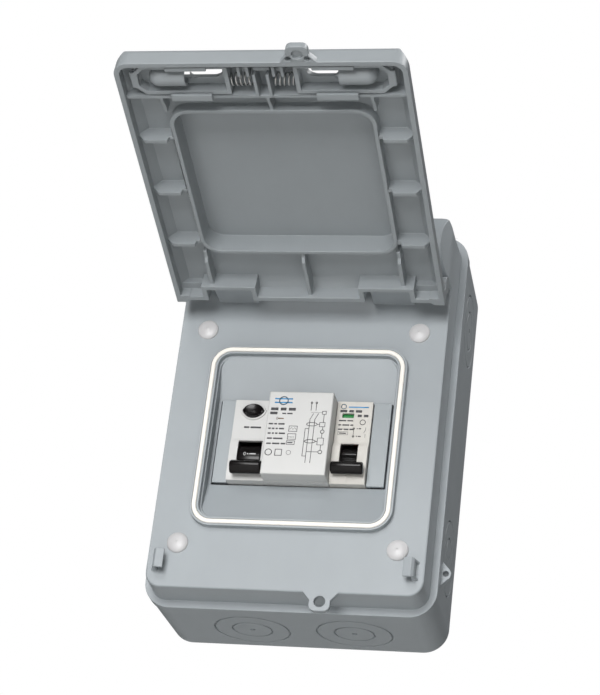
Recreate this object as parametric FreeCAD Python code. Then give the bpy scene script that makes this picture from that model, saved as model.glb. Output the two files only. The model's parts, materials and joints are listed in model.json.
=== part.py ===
import FreeCAD, Part
import math
import os

# Weatherproof wall enclosure with a hinged lid, holding a residual current device and a
# miniature circuit breaker on a DIN rail. Millimetres, +Z up, front towards -Y.
# Everything is drawn from the centre of the device opening, on the cover's front face.
# place() then puts the row's origin at the centre of the wall face.

V = FreeCAD.Vector

# ---- enclosure ----
WALL_Y = 69.0            # cover front face to wall
DEVICE_DROP = 18.5       # device centre below the enclosure's centre
RIM_X = 71.2             # half width of the cover's rim
RIM_Z = 102.0            # half height of the cover's rim
PART_Y = 22.0            # parting plane between box and cover
LEDGE_Y = 16.0           # front of the rim's ledge
FACE_X = 67.0            # half width of the cover's raised front
FACE_BOTTOM = -79.0
FACE_TOP = 115.5
WALL = 2.5
CORNER_R = 13.0
HOOD_Z = 82.6            # underside of the hood
HOOD_Y = -20.5
SCREW_X = 53.3
SCREW_Z = (57.6, -56.55)
FIXING_X = 55.0          # half pitch of the wall screws
FIXING_Z = 85.0
KNOCKOUT_X = (-22.6, 28.0)
KNOCKOUT_Z = (82.0, -42.0)
KNOCKOUT_Y = 45.0
RAIL_SCREW_X = 48.0
BLOCK_Z = 88.0           # terminal bars above the devices
BAR_PITCH = 6.0

# ---- door seal and device opening ----
SEAL_X = 47.3
SEAL_Z = 45.8
SEAL_R = 9.0
COLLAR_H = 3.0
OPEN_X = 42.9
OPEN_Z = 22.9            # lower edge of the device opening, below centre
OPEN_TOP = 21.6
OPEN_Y = 6.3             # depth of the device opening behind the front face

# ---- lid ----
HINGE = V(0, -12.5, 77.7)
OPEN_ANGLE = 104.3       # the lid's open stop, in degrees from closed
LID_RIM_Y = -0.4
LID_Y = -12.0
LID_FLOOR = -9.3         # inside of the lid's skin
PANEL_Y = -17.1          # raised panel over the devices
TRAY_Y = -14.4
LID_END = 77.4           # hinge end wall
PIN_R = 2.0
KNUCKLE_R = 4.2
LUG_X = (29.0, 49.5)
NOTCH_X = (28.0, 50.5)
NOTCH_Z = 70.1
RIB_Z = (-30.2, 3.8, 38.8)
RAIL_WALL = (-57.8, -56.0)            # cross wall behind the latches
RAIL_TOP_Y = -2.4
FINGER_SLOT = (-52.0, -19.0, -72.2, -62.2)
CUP_X = (-47.7, -35.2)
CUP_Y = -5.6
CUP_Z = -67.1
CUP_R = 4.7
LATCH_BACK = -9.1
SPRING_Y = -5.8

# ---- devices ----
RAIL_Y = 53.6            # front plane of the DIN rail
RAIL_HALF = 17.5
SHOULDER_Y = 9.6
NOSE_Z = 22.5            # lower end of the noses, below centre
NOSE_TOP = 21.2
RCD_SIDE_TOP = 20.2
CASE_Z = 42.0
RCD_X = (-34.5, 15.9)
RCD_SPLIT = -15.8
RCD_FACE_Y = 1.4
RCD_HUMP_Y = 0.4
RAISED_Y = -7.3
MCB_X = (16.1, 33.6)
MCB_FACE_Y = 2.6
MCB_HUMP_Y = 1.0
RCD_TOGGLE = V(0, 8.0, -10.0)
MCB_TOGGLE = V(0, 9.0, -9.5)
RCD_OFF = 33.0           # levers point this far below level when off
MCB_OFF = 30.0

RCD_POLES = (-7.6, 7.6)
TERMINAL_Z = 33.5
TEST_X, TEST_Z = -24.9, 14.1
CONTACT_SHAFT = V(0, 20.5, 4.0)
RELAY = V(0, 13.2, -13.2)
MCB_MID = (MCB_X[0] + MCB_X[1]) / 2.0
FLAG = (19.0, 24.7, 12.4, 14.9)       # indicator window
FLAG_AXIS = V(0, 12.8, 13.65)
FLAG_R = 8.4

LEFT, RIGHT = -1, 1


# ---- helpers ----
def box(x0, x1, y0, y1, z0, z1):
    return Part.makeBox(x1 - x0, y1 - y0, z1 - z0, V(x0, y0, z0))


def rod(x, y, z, radius, length, axis):
    return Part.makeCylinder(radius, length, V(x, y, z), V(*axis))


def tube(x, y, z, outer, inner, length, axis):
    return rod(x, y, z, outer, length, axis).cut(rod(x, y, z, inner, length, axis))


def fuse(shapes):
    shapes = list(shapes)
    return shapes[0].multiFuse(shapes[1:]).removeSplitter()


def prism(points, direction):
    wire = Part.makePolygon(points + [points[0]])
    return Part.Face(wire).extrude(direction)


def side_prism(points, x0, x1):
    """A (y, z) outline drawn out along X."""
    return prism([V(x0, y, z) for y, z in points], V(x1 - x0, 0, 0))


def plan_prism(points, z0, z1):
    """An (x, y) outline drawn out along Z."""
    return prism([V(x, y, z0) for x, y in points], V(0, 0, z1 - z0))


def front_prism(points, y0, y1):
    """An (x, z) outline drawn out along Y."""
    return prism([V(x, y0, z) for x, z in points], V(0, y1 - y0, 0))


def rounded_wire(half_x, z0, z1, radius, y):
    """A rounded rectangle, centred on x = 0, facing Y."""
    edges = []
    half_z = (z1 - z0) / 2.0
    mid_z = (z1 + z0) / 2.0
    flat_x = half_x - radius
    flat_z = half_z - radius
    bow = radius * math.sqrt(0.5)
    last = None
    first = None
    for sx, sz in ((1, 1), (-1, 1), (-1, -1), (1, -1)):
        centre = V(sx * flat_x, y, mid_z + sz * flat_z)
        on_side = centre + V(sx * radius, 0, 0)
        on_end = centre + V(0, 0, sz * radius)
        middle = centre + V(sx * bow, 0, sz * bow)
        start, stop = (on_side, on_end) if sx == sz else (on_end, on_side)
        if last is not None:
            edges.append(Part.LineSegment(last, start).toShape())
        else:
            first = start
        edges.append(Part.Arc(start, middle, stop).toShape())
        last = stop
    edges.append(Part.LineSegment(last, first).toShape())
    return Part.Wire(edges)


def rounded_block(half_x, z0, z1, radius, y0, y1):
    face = Part.Face(rounded_wire(half_x, z0, z1, radius, y0))
    return face.extrude(V(0, y1 - y0, 0))


def tapered_block(first, second):
    """Between two rounded rectangles, each (half_x, z0, z1, radius, y)."""
    return Part.makeLoft([rounded_wire(*first), rounded_wire(*second)], True, True)


def ring_wall(half_x, half_z, radius, half_thick, y0, y1):
    outer = rounded_block(half_x + half_thick, -half_z - half_thick, half_z + half_thick,
                          radius + half_thick, y0, y1)
    inner = rounded_block(half_x - half_thick, -half_z + half_thick, half_z - half_thick,
                          radius - half_thick, y0, y1)
    return outer.cut(inner)


def mirrored(shape):
    return shape.mirror(V(0, 0, 0), V(1, 0, 0))


def both_sides(shape):
    return [shape, mirrored(shape)]


def coil(start, axis, radius, wire_r, pitch, turns):
    """A round-wire coil spring that starts at a point and runs along an axis."""
    helix = Part.makeHelix(pitch, pitch * turns, radius)
    profile = Part.Wire(Part.makeCircle(wire_r, V(radius, 0, 0), V(0, 1, 0)))
    spring = Part.Wire(helix).makePipeShell([profile], True, True)
    spring.Placement = FreeCAD.Placement(start, FreeCAD.Rotation(V(0, 0, 1), axis))
    return spring


def open_lid(shape):
    """Swing a piece drawn with the lid closed to where it is with the lid open."""
    swung = shape.copy()
    swung.rotate(HINGE, V(-1, 0, 0), OPEN_ANGLE)
    return swung


def place(shape):
    placed = shape.copy()
    placed.translate(V(0, -WALL_Y, -DEVICE_DROP))
    return placed


def save(name, shapes):
    group = shapes if isinstance(shapes, list) else [shapes]
    placed = [place(shape) for shape in group]
    whole = placed[0] if len(placed) == 1 else Part.makeCompound(placed)
    for solid in whole.Solids:
        if not solid.isValid() or not solid.isClosed():
            print("check", name)
    whole.exportStep("parts/" + name + ".step")
    size = whole.BoundBox
    print(name, len(whole.Solids), round(whole.Volume), [round(v, 1) for v in
          (size.XMin, size.XMax, size.YMin, size.YMax, size.ZMin, size.ZMax)])


# ---- rear box ----
def knockout_cut(centre, axis, outer=18.7, inner=10.1):
    """Two scored rings and a centre dimple, cut from outside a wall."""
    depth = 1.1
    out = V(*axis)
    start = centre - out * depth
    cuts = []
    for radius in (outer, inner):
        ring = Part.makeCylinder(radius, 4, start, out)
        cuts.append(ring.cut(Part.makeCylinder(radius - 0.8, 4, start, out)))
    cuts.append(Part.makeCylinder(1.3, 4, start, out))
    return cuts


def rear_box():
    mid = DEVICE_DROP
    half_x, half_z = RIM_X - 0.4, RIM_Z - 0.4
    shell = tapered_block((half_x, mid - half_z, mid + half_z, CORNER_R - 0.4, PART_Y),
                          (half_x - 1, mid - half_z + 1, mid + half_z - 1, CORNER_R - 1, WALL_Y))
    hollow = tapered_block((half_x - WALL, mid - half_z + WALL, mid + half_z - WALL,
                            CORNER_R - WALL, PART_Y + 5),
                           (half_x - WALL - 1, mid - half_z + WALL + 1,
                            mid + half_z - WALL - 1, CORNER_R - WALL - 1, WALL_Y - WALL))
    mouth = rounded_block(half_x - 5, mid - half_z + 5, mid + half_z - 5, CORNER_R - 5,
                          PART_Y - 1, PART_Y + 5)
    body = shell.cut(hollow).cut(mouth)
    groove = gasket_ring(0.0)
    body = body.cut(groove)
    adds = []
    cuts = []
    for x in (-SCREW_X, SCREW_X):
        for z in SCREW_Z:
            adds.append(rod(x, PART_Y + 2, z, 5.0, WALL_Y - PART_Y - 3, (0, 1, 0)))
            cuts.append(rod(x, PART_Y + 1, z, 2.02, 22, (0, 1, 0)))
        adds.append(rod(math.copysign(RAIL_SCREW_X, x), RAIL_Y + 7.5, 0, 6.0,
                        WALL_Y - RAIL_Y - 8.5, (0, 1, 0)))
        cuts.append(rod(math.copysign(RAIL_SCREW_X, x), RAIL_Y + 7, 0, 1.62, 5.5, (0, 1, 0)))
        cuts.append(rod(math.copysign(28.0, x), 50.5, BLOCK_Z, 1.62, 13, (0, 1, 0)))
        adds.append(rod(math.copysign(28.0, x), 52, BLOCK_Z, 4.5, WALL_Y - 53, (0, 1, 0)))
        for z in (-FIXING_Z, FIXING_Z):
            at = math.copysign(FIXING_X, x)
            cuts.append(rod(at, WALL_Y - 4, mid + z, 2.5, 6, (0, 1, 0)))
    ear = front_prism([(69.8, -51.0), (74.8, -56.2), (76.0, -58.2), (75.6, -60.4),
                       (69.8, -66.0)], PART_Y, PART_Y + 3.6)
    adds.append(ear)
    cuts.append(rod(73.3, PART_Y - 1, -58.6, 1.4, 6, (0, 1, 0)))
    body = fuse([body] + adds)
    low = mid - half_z + 0.5
    high = mid + half_z - 0.5
    for x in KNOCKOUT_X:
        cuts += knockout_cut(V(x, KNOCKOUT_Y, low), (0, 0, -1))
        cuts += knockout_cut(V(x, KNOCKOUT_Y, high), (0, 0, 1))
    for side in (LEFT, RIGHT):
        for z in KNOCKOUT_Z:
            cuts += knockout_cut(V(side * (half_x - 0.5), KNOCKOUT_Y, z), (side, 0, 0))
    for cut in cuts:
        body = body.cut(cut)
    return body


def gasket_ring(ease):
    """The seal between box and cover, as wide as its groove less the ease on each side."""
    mid = DEVICE_DROP
    outer = (RIM_X - 2.1 - ease, mid - RIM_Z + 2.1 + ease, mid + RIM_Z - 2.1 - ease,
             CORNER_R - 2.1)
    inner = (RIM_X - 3.9 + ease, mid - RIM_Z + 3.9 - ease, mid + RIM_Z - 3.9 + ease,
             CORNER_R - 3.9)
    low, high = PART_Y + ease, PART_Y + 1.6 - ease
    return rounded_block(*outer, low, high).cut(rounded_block(*inner, low - 1, high + 1))


# ---- front cover ----
def hood_profile(inset):
    """The hood's side outline, set in by a wall's thickness."""
    foot = V(0, -10.5 + inset * 0.6, HOOD_Z + inset)
    crown = V(0, HOOD_Y + inset, 97.5)
    brow = V(0, -12.0 + inset, FACE_TOP - inset)
    back_top = V(0, 3.0, FACE_TOP - inset)
    back_low = V(0, 3.0, HOOD_Z + inset)
    edges = [Part.Arc(foot, crown, brow).toShape()]
    corners = [brow, back_top, back_low, foot]
    for start, stop in zip(corners, corners[1:]):
        edges.append(Part.LineSegment(start, stop).toShape())
    return Part.Face(Part.Wire(edges))


def hood(inset, half_x):
    face = hood_profile(inset)
    face.translate(V(-half_x, 0, 0))
    body = face.extrude(V(2 * half_x, 0, 0))
    bevel = plan_prism([(FACE_X - inset, -10.5), (FACE_X - 4.6 - inset, -22.2),
                        (FACE_X + 4, -22.2), (FACE_X + 4, -10.5)], 60, 140)
    return body.cut(bevel).cut(mirrored(bevel))


def cover_hook():
    """A post with an arm that points inward and a gusset at each end."""
    low, high, gusset = -71.3, -61.8, 1.3
    pieces = [plan_prism([(61.4, 0.5), (62.8, 0.5), (62.8, -5.0), (61.5, -6.4), (57.6, -5.7),
                          (57.6, -4.7), (61.4, -4.7)], low, high)]
    for z in (low, high - gusset):
        pieces.append(plan_prism([(62.6, 0.5), (64.4, 0.5), (62.6, -4.6)], z, z + gusset))
    return fuse(pieces)


def padlock_tab(depth):
    y0, y1 = (0.0, depth) if depth > 0 else (depth, LID_RIM_Y)
    foot, neck, low = FACE_BOTTOM + 1.5, FACE_BOTTOM - 3.6, FACE_BOTTOM - 9.0
    left, right, radius = 13.7, 23.9, 3.0
    flare = front_prism([(9.2, foot), (left, neck), (left, low + radius), (right, low + radius),
                         (right, neck), (28.4, foot)], y0, y1)
    tip = box(left + radius, right - radius, y0, y1, low, low + radius + 1)
    rounds = [rod(x, y0, low + radius, radius, y1 - y0, (0, 1, 0))
              for x in (left + radius, right - radius)]
    return fuse([flare, tip] + rounds)


def front_cover():
    mid = DEVICE_DROP
    rim = rounded_block(RIM_X, mid - RIM_Z, mid + RIM_Z, CORNER_R, LEDGE_Y, PART_Y)
    raised = tapered_block((FACE_X + 0.6, FACE_BOTTOM - 0.6, FACE_TOP + 0.6, 8.0, LEDGE_Y + 1),
                           (FACE_X, FACE_BOTTOM, FACE_TOP, 7.5, 0.0))
    trim = rounded_block(FACE_X, -100, FACE_TOP, 7.5, -30, 5)
    collar = ring_wall(SEAL_X, SEAL_Z, SEAL_R, 2.3, -COLLAR_H, 1.0)
    outer = fuse([rim, raised, hood(0, FACE_X).common(trim), collar])
    rim_hollow = rounded_block(RIM_X - WALL, mid - RIM_Z + WALL, mid + RIM_Z - WALL,
                               CORNER_R - WALL, LEDGE_Y + WALL, PART_Y + 1)
    raised_hollow = rounded_block(FACE_X - WALL, FACE_BOTTOM + WALL, FACE_TOP - WALL, 5.0,
                                  WALL, LEDGE_Y + 4)
    body = outer.cut(fuse([rim_hollow, raised_hollow, hood(WALL, FACE_X - WALL - 2.2)]))

    dish = side_prism([(0.5, 46.5), (3.0, 46.5), (8.6, 25.6), (8.6, -25.6), (3.0, -46.5),
                       (0.5, -46.5)], -46.3, 46.3)
    adds = [dish]
    for x in (-SCREW_X, SCREW_X):
        for z in SCREW_Z:
            adds.append(rod(x, 1.0, z, 6.4, PART_Y - 1.2, (0, 1, 0)))
    adds += both_sides(cover_hook())
    adds.append(padlock_tab(3.0))
    lug = fuse([rod(LUG_X[0], HINGE.y, HINGE.z, KNUCKLE_R, LUG_X[1] - LUG_X[0], (1, 0, 0)),
                box(*LUG_X, HINGE.y, 1.0, HINGE.z - KNUCKLE_R, HOOD_Z + 1.5)])
    adds += both_sides(lug)
    body = fuse([body] + adds)

    recess = side_prism([(-6.0, 42.9), (-0.2, 42.9), (OPEN_Y, OPEN_TOP + 0.3),
                         (OPEN_Y, -OPEN_Z - 0.3), (-0.2, -42.9), (-6.0, -42.9)], -44.3, 44.3)
    recess = recess.common(rounded_block(44.3, -43.0, 43.0, 7.0, -6, OPEN_Y + 1))
    cuts = [recess, box(-OPEN_X, OPEN_X, OPEN_Y - 1, 10, -OPEN_Z, OPEN_TOP)]
    cuts.append(ring_wall(SEAL_X, SEAL_Z, SEAL_R, 1.2, -COLLAR_H - 1, -1.0))
    for x in (-SCREW_X, SCREW_X):
        for z in SCREW_Z:
            cuts.append(rod(x, -1, z, 4.6, 11, (0, 1, 0)))
            cuts.append(rod(x, 9, z, 2.3, 14, (0, 1, 0)))
    cuts.append(rod(18.8, -2, FACE_BOTTOM - 4.3, 2.7, 8, (0, 1, 0)))
    bore = rod(LUG_X[0] + 2, HINGE.y, HINGE.z, PIN_R + 0.05, 30, (1, 0, 0))
    cuts += both_sides(bore)
    for cut in cuts:
        body = body.cut(cut)
    return body


def cover_screws():
    screws = []
    for x in (-SCREW_X, SCREW_X):
        for z in SCREW_Z:
            head = rod(x, 7.2, z, 3.8, 2.8, (0, 1, 0))
            shank = rod(x, 9.8, z, 1.95, 32, (0, 1, 0))
            slot = box(x - 3.0, x + 3.0, 6, 8.6, z - 0.5, z + 0.5)
            cross = box(x - 0.5, x + 0.5, 6, 8.6, z - 3.0, z + 3.0)
            screws.append(fuse([head, shank]).cut(slot).cut(cross))
    return screws


def screw_caps():
    caps = []
    for x in (-SCREW_X, SCREW_X):
        for z in SCREW_Z:
            rim = rod(x, -1.0, z, 5.2, 1.0, (0, 1, 0))
            dome_r = 14.0
            dome = Part.makeSphere(dome_r, V(x, dome_r - 2.0, z))
            crown = dome.common(rod(x, -4, z, 5.2, 3.4, (0, 1, 0)))
            stem = tube(x, -0.2, z, 4.4, 3.2, 5.0, (0, 1, 0))
            caps.append(fuse([rim, crown, stem]))
    return caps


# ---- blanking strips, rail and terminal bars ----
def blank(x0, x1):
    low, high = -OPEN_Z + 0.3, OPEN_TOP - 0.3
    face = box(x0, x1, 4.4, 6.0, low, high)
    legs = [box(x0, x0 + 1.4, 6.0, 15.0, low + 0.6, high - 0.6),
            box(x1 - 1.4, x1, 6.0, 15.0, low + 0.6, high - 0.6)]
    return fuse([face] + legs)


def din_rail():
    length = 54.0
    thick = 1.0
    depth = 7.5
    back = RAIL_Y + depth
    half_web = 13.5
    flange = box(-length, length, RAIL_Y, RAIL_Y + thick, half_web - thick, RAIL_HALF)
    side = box(-length, length, RAIL_Y, back, half_web - thick, half_web)
    halves = [flange, side]
    halves += [piece.mirror(V(0, 0, 0), V(0, 0, 1)) for piece in (flange, side)]
    web = box(-length, length, back - thick, back, -half_web, half_web)
    rail = fuse(halves + [web])
    for x in (-RAIL_SCREW_X, RAIL_SCREW_X):
        rail = rail.cut(rod(x, back - 3, 0, 2.2, 6, (0, 1, 0)))
    return rail


def rail_screws():
    screws = []
    for x in (-RAIL_SCREW_X, RAIL_SCREW_X):
        head = rod(x, RAIL_Y + 4.3, 0, 3.4, 2.2, (0, 1, 0))
        shank = rod(x, RAIL_Y + 6.4, 0, 1.6, 6.0, (0, 1, 0))
        screws.append(fuse([head, shank]).cut(box(x - 2.6, x + 2.6, RAIL_Y + 4, RAIL_Y + 5.2,
                                                  -0.4, 0.4)))
    return screws


def terminal_holder():
    base = box(-34, 34, 46.5, 52.0, BLOCK_Z - 6, BLOCK_Z + 6)
    cuts = [rod(x, 46, BLOCK_Z, 2.1, 8, (0, 1, 0)) for x in (-28, 28)]
    cuts += [rod(x, 46, BLOCK_Z, 3.6, 3.5, (0, 1, 0)) for x in (-28, 28)]
    for cut in cuts:
        base = base.cut(cut)
    rails = [box(-22, -1.5, 43.5, 46.6, BLOCK_Z - 5.5, BLOCK_Z - 4.1),
             box(1.5, 22, 43.5, 46.6, BLOCK_Z - 5.5, BLOCK_Z - 4.1),
             box(-22, -1.5, 43.5, 46.6, BLOCK_Z + 4.1, BLOCK_Z + 5.5),
             box(1.5, 22, 43.5, 46.6, BLOCK_Z + 4.1, BLOCK_Z + 5.5)]
    return fuse([base] + rails)


def bar_places(side):
    return [side * (4.5 + BAR_PITCH * n) for n in range(3)]


def terminal_bar(side):
    x0, x1 = sorted((side * 1.8, side * 21.0))
    bar = box(x0, x1, 39.5, 46.4, BLOCK_Z - 3.9, BLOCK_Z + 3.9)
    for x in bar_places(side):
        bar = bar.cut(rod(x, 43.4, BLOCK_Z - 5, 1.9, 10, (0, 0, 1)))
        bar = bar.cut(rod(x, 39, BLOCK_Z, 1.55, 4.4, (0, 1, 0)))
    return bar


def bar_screws():
    screws = []
    for side in (LEFT, RIGHT):
        for x in bar_places(side):
            head = rod(x, 36.8, BLOCK_Z, 2.3, 2.0, (0, 1, 0))
            shank = rod(x, 38.7, BLOCK_Z, 1.5, 3.4, (0, 1, 0))
            slot = box(x - 2.3, x + 2.3, 36.0, 37.8, BLOCK_Z - 0.35, BLOCK_Z + 0.35)
            screws.append(fuse([head, shank]).cut(slot))
    for x in (-28, 28):
        head = rod(x, 47.2, BLOCK_Z, 3.2, 2.2, (0, 1, 0))
        shank = rod(x, 49.3, BLOCK_Z, 1.6, 10, (0, 1, 0))
        screws.append(fuse([head, shank]).cut(box(x - 2.5, x + 2.5, 47, 48.2, BLOCK_Z - 0.4,
                                                  BLOCK_Z + 0.4)))
    return screws


# ---- lid, drawn closed ----
def lid_profile(inset):
    """The lid's side outline: flat rim, square free end, and a skin that curves at each end."""
    skin = LID_Y + inset
    low = FACE_BOTTOM + inset
    high = LID_END - inset
    rim_low, chin = V(0, LID_RIM_Y, low), V(0, -7.5 + inset * 0.4, low)
    flat_low, flat_high = V(0, skin, low + 6.0), V(0, skin, 68.0)
    brow, rim_high = V(0, -8.3 + inset * 0.4, high), V(0, LID_RIM_Y, high)
    edges = [Part.LineSegment(rim_low, chin).toShape(),
             Part.Arc(chin, V(0, skin + 1.2, low + 1.8), flat_low).toShape(),
             Part.LineSegment(flat_low, flat_high).toShape(),
             Part.Arc(flat_high, V(0, skin + 1.0, 74.6 - inset * 0.8), brow).toShape(),
             Part.LineSegment(brow, rim_high).toShape(),
             Part.LineSegment(rim_high, rim_low).toShape()]
    return Part.Face(Part.Wire(edges))


def lid_block(inset, half_x, radius):
    face = lid_profile(inset)
    face.translate(V(-half_x, 0, 0))
    body = face.extrude(V(2 * half_x, 0, 0))
    bevel = plan_prism([(half_x, -5.5), (half_x - 7.0, -12.6), (half_x + 4, -12.6),
                        (half_x + 4, -5.5)], -120, 120)
    body = body.cut(bevel).cut(mirrored(bevel))
    plan = rounded_block(half_x, FACE_BOTTOM + inset, 200, radius, -30, 5)
    return body.common(plan)


def lid_ribs():
    """Stiffening ribs inside the lid, all kept below the rim."""
    root = LID_FLOOR - 1.5
    ribs = []
    for z in RIB_Z:
        web = plan_prism([(48.0, -3.6), (50.0, -3.6), (50.6, -1.2), (61.5, -1.2), (64.8, -5.0),
                          (64.8, root), (48.0, root)], z - 1.0, z + 1.0)
        ribs += both_sides(web)
    ribs.append(box(-65, 65, root, RAIL_TOP_Y, *RAIL_WALL))
    for x in (-48.6, 1.0, 48.6):
        ribs.append(side_prism([(root, RAIL_WALL[1] - 0.5), (RAIL_TOP_Y, RAIL_WALL[1] - 0.5),
                                (RAIL_TOP_Y, -54.0), (-4.2, -49.5), (-4.2, -46.0),
                                (root, -46.0)], x - 0.8, x + 0.8))
    for x, top in ((-47.6, NOTCH_Z - 1.2), (0.7, 75.5), (47.6, NOTCH_Z - 1.2)):
        ribs.append(side_prism([(root, 46.0), (-4.2, 46.0), (-4.2, 50.0), (RAIL_TOP_Y, 52.0),
                                (RAIL_TOP_Y, top), (root, top)], x - 0.9, x + 0.9))
    for side in (LEFT, RIGHT):
        near, far = sorted((side * 5.2, side * 10.6))
        ribs.append(box(near, far, root, -6.0, -77.0, -68.6))
        for x in (near, far - 1.4):
            ribs.append(box(x, x + 1.4, root, RAIL_TOP_Y, -77.0, -68.6))
        finger = sorted((side * 2.4, side * 3.8))
        ribs.append(box(*finger, root, -1.6, -70.5, RAIL_WALL[0] + 0.5))
    ribs.append(box(-3.8, 3.8, root, -5.0, -72.0, -70.0))
    return ribs


def latch_clips():
    clips = []
    for side in (LEFT, RIGHT):
        x0, x1 = sorted((side * 24.0, side * 43.0))
        clips.append(box(x0, x1, -1.8, -0.6, -77.0, -73.9))
        clips.append(side_prism([(-2.2, -59.4), (-0.6, -59.4), (-0.6, -56.0), (-2.6, -56.0),
                                 (-2.6, -57.7), (-2.2, -57.7)], x0, x1))
    return clips


def stadium(x0, x1, z0, z1, y0, y1):
    radius = (z1 - z0) / 2.0
    mid = (z0 + z1) / 2.0
    parts = [box(x0 + radius, x1 - radius, y0, y1, z0, z1),
             rod(x0 + radius, y0, mid, radius, y1 - y0, (0, 1, 0)),
             rod(x1 - radius, y0, mid, radius, y1 - y0, (0, 1, 0))]
    return fuse(parts)


def hinge_end(side):
    """Walls around one notch, and the boss that carries the outer end of the hinge pin."""
    wall = 2.5
    inner, outer = side * NOTCH_X[0], side * NOTCH_X[1]
    edge = side * (FACE_X - 0.8)
    blocks = []
    for start, stop, y0, z0, z1 in (
            (inner - side * wall, inner, LID_FLOOR - 1, NOTCH_Z - wall, LID_END),
            (outer, outer + side * wall, LID_FLOOR - 1, NOTCH_Z - wall, LID_END),
            (inner - side * wall, outer + side * wall, LID_FLOOR - 1, NOTCH_Z - wall, NOTCH_Z)):
        x0, x1 = sorted((start, stop))
        blocks.append(box(x0, x1, y0, LID_RIM_Y, z0, z1))
    x0, x1 = sorted((outer, edge))
    blocks.append(box(x0, x1, LID_Y, -5.8, 70.6, LID_END))
    return blocks


def lid():
    shell = fuse([lid_block(0, FACE_X, 7.0),
                  tapered_block((50.0, -48.9, 48.9, 11.6, LID_Y + 0.5),
                                (49.2, -48.1, 48.1, 10.8, PANEL_Y))])
    shell = shell.cut(lid_block(LID_FLOOR - LID_Y, FACE_X - WALL, 4.5))
    inside = lid_block(0.8, FACE_X - 0.6, 6.4)
    tub = ring_wall(SEAL_X, 46.2, SEAL_R, 1.0, LID_FLOOR - 1.5, -3.75)
    details = lid_ribs() + latch_clips() + [tub] + hinge_end(LEFT) + hinge_end(RIGHT)
    adds = [fuse(details).common(inside)]
    for side in (LEFT, RIGHT):
        x0, x1 = sorted((side * NOTCH_X[1], side * FACE_X))
        adds.append(rod(x0, HINGE.y, HINGE.z, KNUCKLE_R, x1 - x0, (1, 0, 0)))
        x0, x1 = sorted((side * 64.5, side * FACE_X))
        adds.append(box(x0, x1, HINGE.y, LID_RIM_Y, LID_END - 3, 79.0))
        step = front_prism([(side * 60.0, LID_END - 3), (side * 60.0, LID_END),
                            (side * 62.0, 79.0), (side * 66.5, 79.0),
                            (side * 66.5, LID_END - 3)], -8.0, LID_RIM_Y)
        adds.append(step)
    adds.append(padlock_tab(-3.6))
    body = fuse([shell] + adds)
    cuts = [rounded_block(SEAL_X - 1.0, -45.2, 45.2, SEAL_R - 1.0, TRAY_Y, 0)]
    for side in (LEFT, RIGHT):
        x0, x1 = sorted((side * NOTCH_X[0], side * NOTCH_X[1]))
        cuts.append(box(x0, x1, -30, 5, NOTCH_Z, 90))
        cuts.append(rod(min(side * 50, side * 66.6), HINGE.y, HINGE.z, PIN_R + 0.02, 16.6,
                        (1, 0, 0)))
        slot = stadium(*FINGER_SLOT, -14, -8)
        cuts.append(slot if side == LEFT else mirrored(slot))
        cuts.append(rod(18.8 + side * 4.4, -3.0, FACE_BOTTOM - 1.9, 1.4, 6, (0, 1, 0)))
    cuts.append(rod(18.8, -1.8, FACE_BOTTOM - 4.3, 2.5, 4, (0, 1, 0)))
    for cut in cuts:
        body = body.cut(cut)
    return open_lid(body)


def hinge_pin():
    pin = rod(LUG_X[0] + 3, HINGE.y, HINGE.z, PIN_R, 66.4 - LUG_X[0] - 3, (1, 0, 0))
    return open_lid(pin)


def finger_cup(radius, x_end, back):
    """A half-round pocket with a domed outer end, standing on the latch's back plate."""
    start, y, z = CUP_X[0], CUP_Y, CUP_Z
    round_top = fuse([rod(start, y, z, radius, x_end - start, (1, 0, 0)),
                      Part.makeSphere(radius, V(start, y, z))])
    round_top = round_top.common(box(start - 9, x_end, y, 0, z - 9, z + 9))
    return fuse([round_top, box(start, x_end, back, y, z - radius, z + radius),
                 rod(start, back, z, radius, y - back, (0, 1, 0))])


def latch_left():
    """A sliding frame with a finger cup, a catch at its outer end and a flat inner end."""
    outline = [(-59.2, -71.0), (-54.6, -75.3), (-15.0, -75.3), (-15.0, -58.4), (-54.6, -58.4),
               (-59.2, -62.6)]
    inner = [(-57.2, -70.2), (-53.8, -73.4), (-17.0, -73.4), (-17.0, -60.3), (-53.8, -60.3),
             (-57.2, -63.4)]
    plate = 1.2
    frame = front_prism(outline, LATCH_BACK, -2.6)
    frame = frame.cut(front_prism(inner, LATCH_BACK + plate, 0))
    catch = plan_prism([(-59.0, -4.3), (-60.7, -3.6), (-60.7, -3.0), (-59.9, -2.6),
                        (-59.0, -2.6)], -71.4, -62.4)
    relief = box(-60, -57.0, -7.6, -4.3, -76, -58)
    window = stadium(-34.4, -19.0, -72.6, -64.0, LATCH_BACK - 1, LATCH_BACK + plate + 1)
    frame = frame.cut(relief).cut(window)
    room = lid_block(LID_FLOOR - LID_Y + 0.2, FACE_X - WALL - 0.4, 4.0)
    frame = fuse([frame, finger_cup(CUP_R, CUP_X[1], LATCH_BACK)])
    frame = frame.cut(finger_cup(CUP_R - 1.2, CUP_X[1] + 1, LATCH_BACK - 2))
    clear = box(-62, -50, -6.0, 0, -78, -55)
    return fuse([frame, catch]).common(fuse([room, clear]))


def latch_spring():
    turns = 5.0
    length = 14.5 - 4.3
    return coil(V(-14.5, SPRING_Y, -64.6), V(1, 0, 0), 2.8, 0.4, length / turns, turns)


# ---- devices ----
def case_outline(front, top, hump=None):
    """A device's side outline, with a swell around its lever where hump gives one."""
    nose = [(front, -NOSE_Z)]
    if hump is not None:
        nose += [(hump, -19.6), (hump, -3.4), (front, -0.4)]
    nose.append((front, top))
    return ([(SHOULDER_Y, -CASE_Z), (SHOULDER_Y, -NOSE_Z)] + nose
            + [(SHOULDER_Y, top), (SHOULDER_Y, CASE_Z), (RAIL_Y - 0.1, CASE_Z),
               (RAIL_Y - 0.1, -CASE_Z)])


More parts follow.
